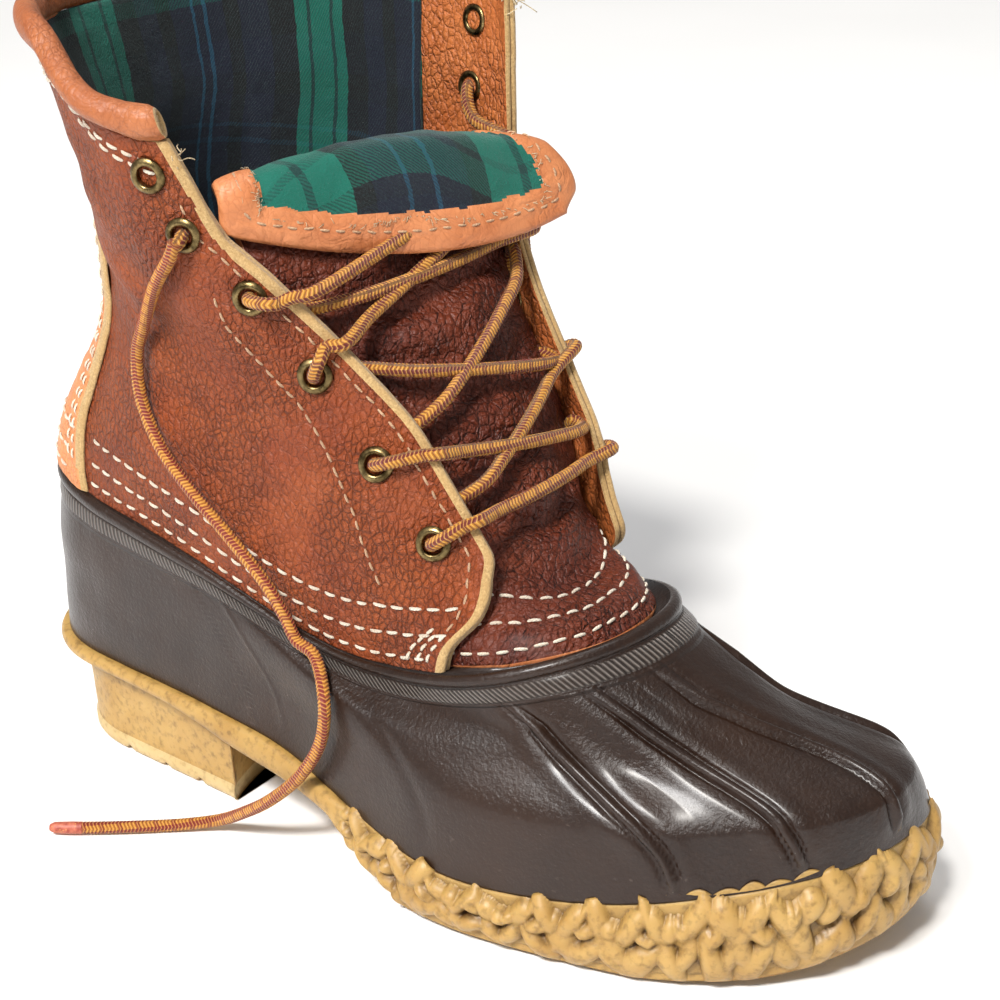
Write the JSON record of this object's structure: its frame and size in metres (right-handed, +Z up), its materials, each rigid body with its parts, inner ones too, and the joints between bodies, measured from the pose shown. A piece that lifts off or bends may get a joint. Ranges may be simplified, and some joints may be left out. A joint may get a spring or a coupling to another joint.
{
  "type": "lined boot",
  "caption": "Right lined boot: moulded rubber bottom with a tan outsole and heel block, open leather shaft with eyelets, folded tongue, rolled collar and laces.",
  "frame": {"origin": "centre of the boot's box, without the loose lace end, on the ground plane under the heel block and forefoot bars", "axes": "+Z up, the toe points along -Y, the lateral (outer) side is -X"},
  "size_m": [0.1398, 0.3106, 0.2655],
  "materials": {
    "gum_sole": "matt",
    "brown_rubber": "satin",
    "footbed": "matt",
    "quarter_leather": "satin",
    "tongue_leather": "satin",
    "strap_leather": "satin",
    "collar_leather": "satin",
    "eyelet_brass": "aged satin",
    "lace_cord": "matt"
  },
  "bodies": {
    "root": {"outsole": "gum_sole", "rubber_bottom": "brown_rubber", "insole": "footbed", "upper": "quarter_leather", "tongue": "tongue_leather", "back_strap": "strap_leather", "collar_roll": "collar_leather", "lace_bar": "lace_cord", "lace_end": "lace_cord", "lace_lower": "lace_cord", "lace_upper": "lace_cord", "eyelet_lateral_1": "eyelet_brass", "eyelet_lateral_2": "eyelet_brass", "eyelet_lateral_3": "eyelet_brass", "eyelet_lateral_4": "eyelet_brass", "eyelet_lateral_5": "eyelet_brass", "eyelet_lateral_6": "eyelet_brass", "eyelet_medial_1": "eyelet_brass", "eyelet_medial_2": "eyelet_brass", "eyelet_medial_3": "eyelet_brass", "eyelet_medial_4": "eyelet_brass", "eyelet_medial_5": "eyelet_brass", "eyelet_medial_6": "eyelet_brass"}
  },
  "joints": []
}
